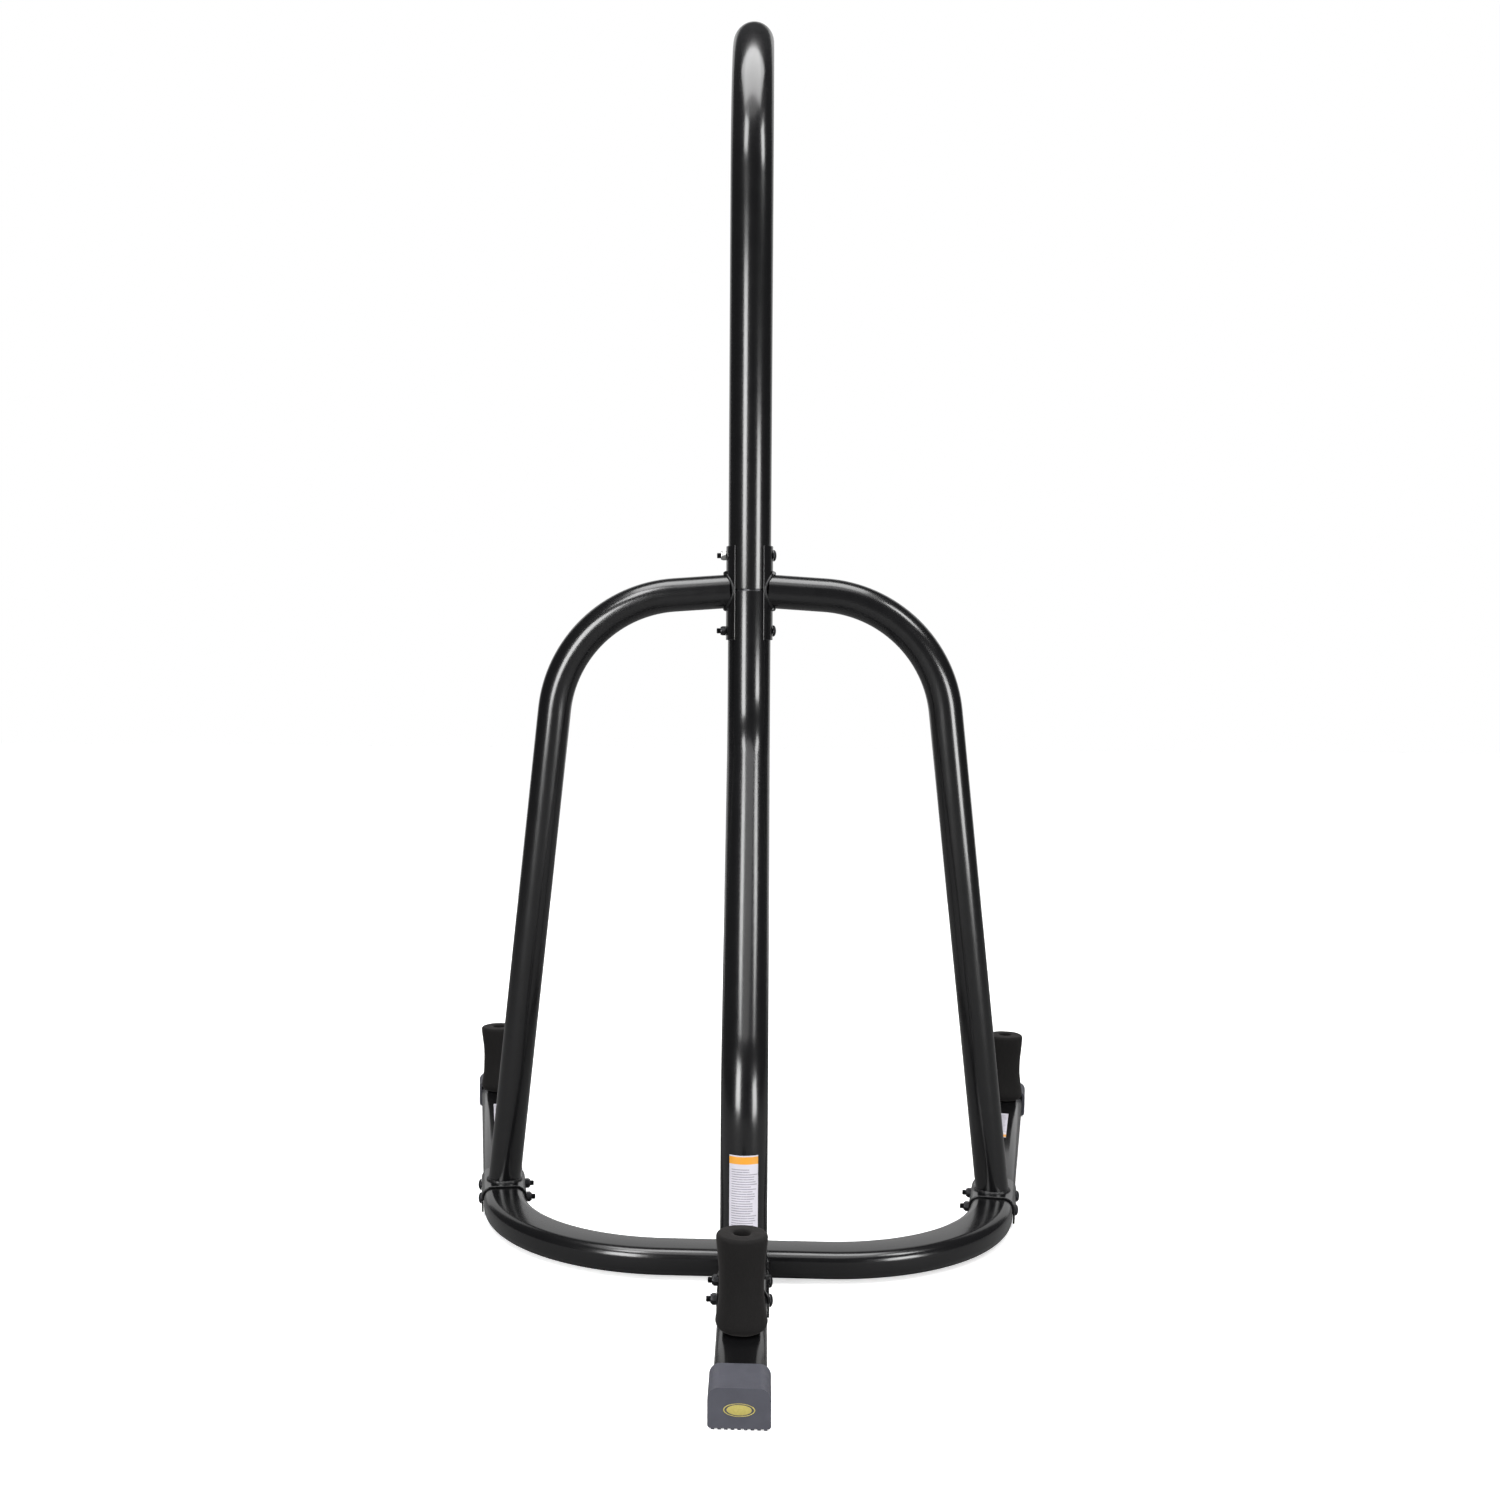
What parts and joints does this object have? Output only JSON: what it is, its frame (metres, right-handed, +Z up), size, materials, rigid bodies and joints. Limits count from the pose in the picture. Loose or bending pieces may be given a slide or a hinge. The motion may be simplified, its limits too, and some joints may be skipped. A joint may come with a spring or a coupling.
{
  "type": "heavy bag stand",
  "caption": "Free-standing heavy bag stand with a bent mast, side braces, a U-shaped base with weight pegs in foam sleeves, ribbed foot caps and a swivel snap hook on the arm.",
  "frame": {"origin": "centre of the bounding box on the floor", "axes": "+Z up, +Y from the mast towards the hanging side, +X to the right seen from behind the mast"},
  "size_m": [1.0036, 1.337, 1.7821],
  "materials": {
    "powder_black": "gloss",
    "zinc_steel": "satin",
    "foam_black": "matte",
    "cap_grey": "matte",
    "plug_black": "matte",
    "label_white": "satin"
  },
  "bodies": {
    "frame": {"arm_tip_plug": "plug_black", "base_crossbar": "powder_black", "eye_bolt": "zinc_steel", "eye_bolt_nut": "zinc_steel", "left_brace": "powder_black", "left_brace_bolt_front": "zinc_steel", "left_brace_bolt_rear": "zinc_steel", "left_brace_foot_saddle": "powder_black", "left_brace_nut_front": "zinc_steel", "left_brace_nut_rear": "zinc_steel", "left_foot_cap": "cap_grey", "left_leg": "powder_black", "left_leg_label": "label_white", "left_mast_plate": "powder_black", "left_weight_peg": "powder_black", "lower_mast": "powder_black", "mast_bolt_lower": "zinc_steel", "mast_bolt_upper": "zinc_steel", "mast_foot_bolt_front": "zinc_steel", "mast_foot_bolt_rear": "zinc_steel", "mast_foot_nut_front": "zinc_steel", "mast_foot_nut_rear": "zinc_steel", "mast_foot_saddle": "powder_black", "mast_label": "label_white", "mast_nut_lower": "zinc_steel", "mast_nut_upper": "zinc_steel", "mast_splice_sleeve": "zinc_steel", "rear_foot_cap": "cap_grey", "rear_leg": "powder_black", "rear_stub": "powder_black", "rear_weight_peg": "powder_black", "right_brace": "powder_black", "right_brace_bolt_front": "zinc_steel", "right_brace_bolt_rear": "zinc_steel", "right_brace_foot_saddle": "powder_black", "right_brace_nut_front": "zinc_steel", "right_brace_nut_rear": "zinc_steel", "right_foot_cap": "cap_grey", "right_leg": "powder_black", "right_leg_label": "label_white", "right_mast_plate": "powder_black", "right_weight_peg": "powder_black", "upper_mast": "powder_black"},
    "rear_sleeve": {"rear_foam_sleeve": "foam_black"},
    "left_sleeve": {"left_foam_sleeve": "foam_black"},
    "right_sleeve": {"right_foam_sleeve": "foam_black"},
    "link": {"hanger_link": "zinc_steel"},
    "swivel": {"hanger_swivel": "zinc_steel"},
    "hook": {"snap_hook": "zinc_steel", "gate_pin": "zinc_steel"},
    "gate": {"hook_gate": "zinc_steel"}
  },
  "joints": [
    {"name": "rear_sleeve_slide", "type": "slide", "parent": "frame", "child": "rear_sleeve", "axis": [0, 0, 1], "range_m": [0, 0.13]},
    {"name": "left_sleeve_slide", "type": "slide", "parent": "frame", "child": "left_sleeve", "axis": [0, 0, 1], "range_m": [0, 0.13]},
    {"name": "right_sleeve_slide", "type": "slide", "parent": "frame", "child": "right_sleeve", "axis": [0, 0, 1], "range_m": [0, 0.13]},
    {"name": "link_sway", "type": "hinge", "parent": "frame", "child": "link", "pos_m": [0, 0.46959, 1.6456], "axis": [0, 1, 0], "range_deg": [-35, 35]},
    {"name": "swivel_swing", "type": "hinge", "parent": "link", "child": "swivel", "pos_m": [0, 0.46959, 1.6274], "axis": [1, 0, 0], "range_deg": [-35, 35]},
    {"name": "hook_spin", "type": "hinge", "parent": "swivel", "child": "hook", "pos_m": [0, 0.46959, 1.6], "axis": [0, 0, 1], "continuous": true},
    {"name": "gate_open", "type": "hinge", "parent": "hook", "child": "gate", "pos_m": [0, 0.48159, 1.5797], "axis": [1, 0, 0], "range_deg": [-35, 0], "stiffness_Nm_per_rad": 0.02, "springref_deg": 11.46}
  ]
}
